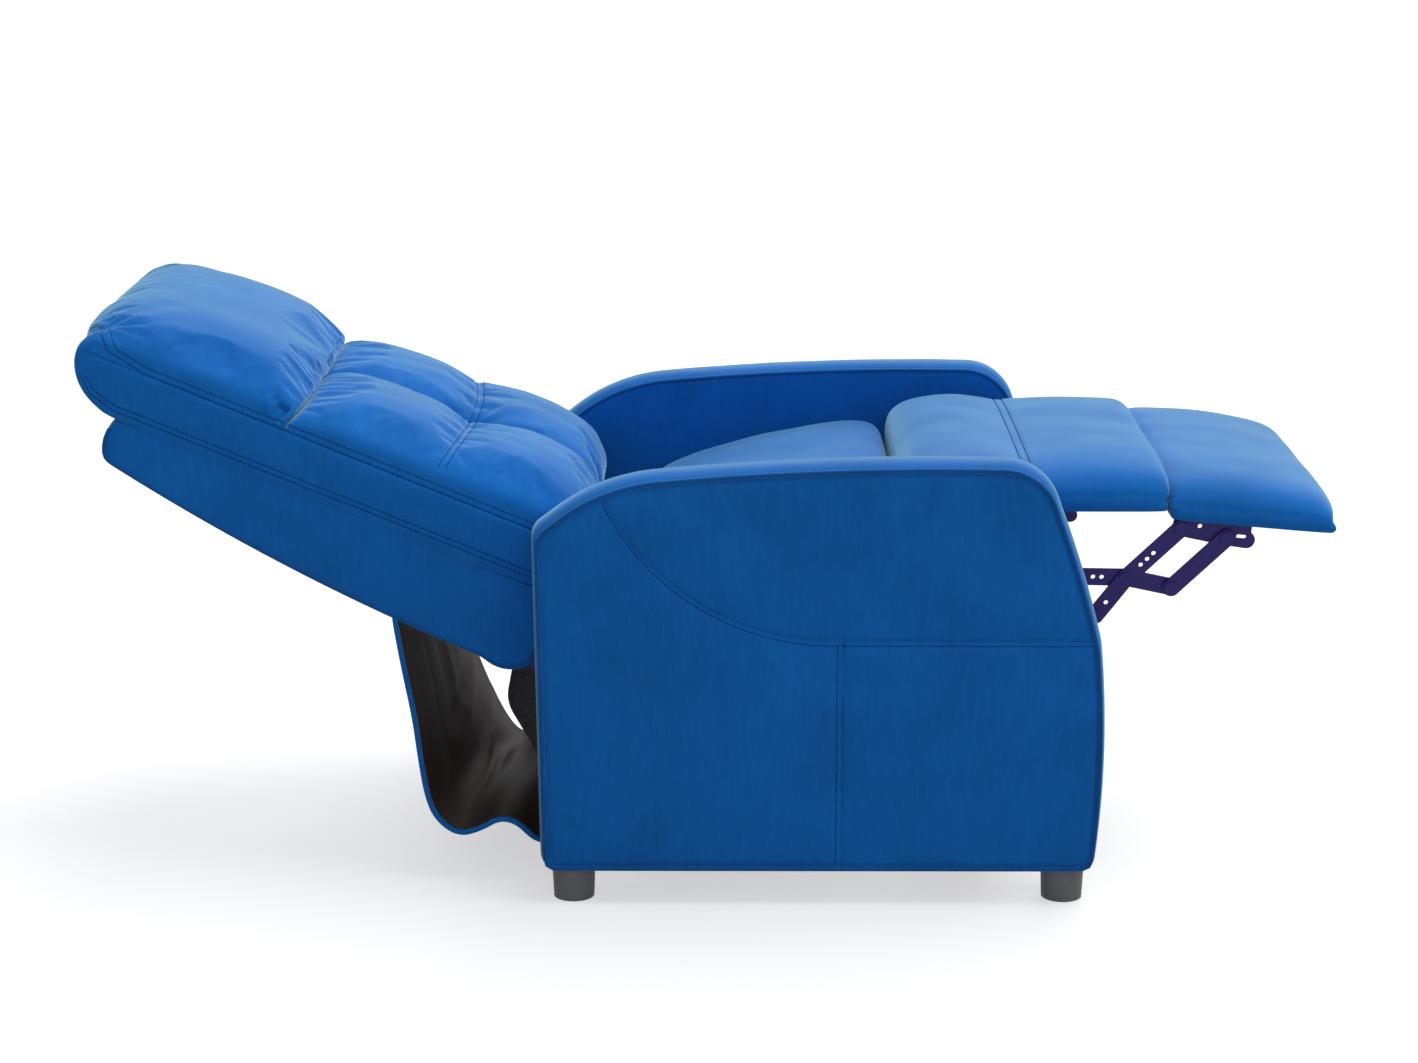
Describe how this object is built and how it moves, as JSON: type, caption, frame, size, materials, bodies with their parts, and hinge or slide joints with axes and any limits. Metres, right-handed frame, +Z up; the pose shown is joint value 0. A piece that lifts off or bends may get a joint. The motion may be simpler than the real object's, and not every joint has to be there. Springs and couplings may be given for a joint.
{
  "type": "recliner chair",
  "caption": "Push-back recliner chair in blue velvet, reclined: slim arms, tufted back with a head pillow, seat, and a footrest on a folding link mechanism.",
  "frame": {"origin": "on the floor under the middle of the reclined chair's bounding box", "axes": "+X to the front of the chair, +Z up, +Y to the sitter's left"},
  "size_m": [1.5992, 0.7, 0.763],
  "materials": {
    "blue_velvet": "soft pile",
    "skirt_velvet": "soft pile with a dark lining",
    "dust_cloth": "matte",
    "webbing": "woven",
    "timber": "raw",
    "dark_steel": "satin",
    "zinc_steel": "plated",
    "foot_plastic": "matte"
  },
  "bodies": {
    "base": {"arm_frame_left": "timber", "arm_frame_right": "timber", "arm_band_left": "blue_velvet", "arm_band_right": "blue_velvet", "arm_outer_panel_left": "blue_velvet", "arm_outer_panel_right": "blue_velvet", "arm_inner_panel_left": "blue_velvet", "arm_inner_panel_right": "blue_velvet", "foot_rear_left": "foot_plastic", "foot_rear_right": "foot_plastic", "foot_front_left": "foot_plastic", "foot_front_right": "foot_plastic", "front_rail": "timber", "rear_rail": "timber", "rail_bolts": "zinc_steel", "base_plates": "dark_steel", "base_screws": "zinc_steel", "lift_pivot_pins": "zinc_steel", "dust_cloth": "dust_cloth"},
    "back": {"back_shell": "blue_velvet", "back_stile_left": "timber", "back_stile_right": "timber", "back_top_rail": "timber", "back_bottom_rail": "timber", "back_webbing": "webbing", "back_brackets": "dark_steel", "back_pivot_pins": "zinc_steel", "bracket_screws": "zinc_steel", "lumbar_cushion": "blue_velvet", "head_pillow": "blue_velvet"},
    "seat": {"seat_rail_left": "timber", "seat_rail_right": "timber", "seat_front_rail": "timber", "seat_rear_rail": "timber", "seat_webbing": "webbing", "seat_plates": "dark_steel", "seat_screws": "zinc_steel", "torque_tube": "zinc_steel", "seat_pivot_pins": "zinc_steel", "seat_cushion": "blue_velvet", "front_roll": "blue_velvet"},
    "lift": {"lift_links": "dark_steel"},
    "recline_rod": {"recline_rods": "dark_steel"},
    "skirt": {"rear_skirt": "skirt_velvet"},
    "drive": {"drive_links": "dark_steel", "drive_rivets": "zinc_steel"},
    "rear": {"rear_links": "dark_steel", "rear_rivets": "zinc_steel"},
    "long": {"long_links": "dark_steel", "long_rivets": "zinc_steel"},
    "footrest": {"footrest_brackets": "dark_steel", "bracket_rivets": "zinc_steel", "footrest_board": "timber", "footrest_pad": "blue_velvet"},
    "cross": {"cross_links": "dark_steel", "cross_rivets": "zinc_steel"},
    "outer": {"outer_links": "dark_steel"},
    "mid_flap": {"mid_board": "timber", "mid_pad": "blue_velvet", "mid_brackets": "dark_steel"}
  },
  "joints": [
    {"name": "back_recline", "type": "hinge", "parent": "base", "child": "back", "pos_m": [-0.203, 0, 0.35], "axis": [0, 1, 0], "range_deg": [0, 52], "deforming": ["rear_skirt"]},
    {"name": "seat_tilt", "type": "hinge", "parent": "base", "child": "seat", "pos_m": [-0.06, 0, 0.23], "axis": [0, 1, 0], "range_deg": [0, 7]},
    {"name": "lift_turn", "type": "hinge", "parent": "base", "child": "lift", "pos_m": [0.2934, 0, 0.164], "axis": [0, 1, 0], "range_deg": [-20.01, 0]},
    {"name": "rod_swing", "type": "hinge", "parent": "back", "child": "recline_rod", "pos_m": [-0.19423, 0, 0.33202], "axis": [0, 1, 0], "range_deg": [-50.13, 0]},
    {"name": "skirt_rise", "type": "slide", "parent": "base", "child": "skirt", "axis": [0.4635, 0, 0.8861], "range_m": [0, 0.17419]},
    {"name": "footrest_fold", "type": "hinge", "parent": "seat", "child": "drive", "pos_m": [0.2974, 0, 0.3846], "axis": [0, 1, 0], "range_deg": [0, 72.31]},
    {"name": "rear_link_swing", "type": "hinge", "parent": "seat", "child": "rear", "pos_m": [0.333, 0, 0.4395], "axis": [0, 1, 0], "range_deg": [0, 61.38]},
    {"name": "long_link_swing", "type": "hinge", "parent": "drive", "child": "long", "pos_m": [0.49696, 0, 0.35803], "axis": [0, 1, 0], "range_deg": [-74.36, 0]},
    {"name": "footrest_turn", "type": "hinge", "parent": "long", "child": "footrest", "pos_m": [0.60234, 0, 0.47299], "axis": [0, 1, 0], "range_deg": [0, 82.05]},
    {"name": "cross_link_swing", "type": "hinge", "parent": "long", "child": "cross", "pos_m": [0.534, 0, 0.407], "axis": [0, 1, 0], "range_deg": [0, 82.05]},
    {"name": "outer_link_swing", "type": "hinge", "parent": "cross", "child": "outer", "pos_m": [0.59269, 0, 0.39453], "axis": [0, 1, 0], "range_deg": [-82.05, 0]},
    {"name": "mid_flap_fold", "type": "hinge", "parent": "seat", "child": "mid_flap", "pos_m": [0.411, 0, 0.494], "axis": [0, 1, 0], "range_deg": [0, 80.04]}
  ],
  "couplings": [
    {"joint": "seat_tilt", "follows": "back_recline", "ratio": 0.13462},
    {"joint": "lift_turn", "follows": "back_recline", "ratio": -0.38461},
    {"joint": "rod_swing", "follows": "back_recline", "ratio": -0.9636},
    {"joint": "skirt_rise", "follows": "back_recline", "m_per_rad": 0.19183},
    {"joint": "rear_link_swing", "follows": "footrest_fold", "ratio": 0.84836},
    {"joint": "long_link_swing", "follows": "footrest_fold", "ratio": -1.0278},
    {"joint": "footrest_turn", "follows": "footrest_fold", "ratio": 1.1341},
    {"joint": "cross_link_swing", "follows": "footrest_fold", "ratio": 1.1341},
    {"joint": "outer_link_swing", "follows": "footrest_fold", "ratio": -1.1341},
    {"joint": "mid_flap_fold", "follows": "footrest_fold", "ratio": 1.1063}
  ]
}
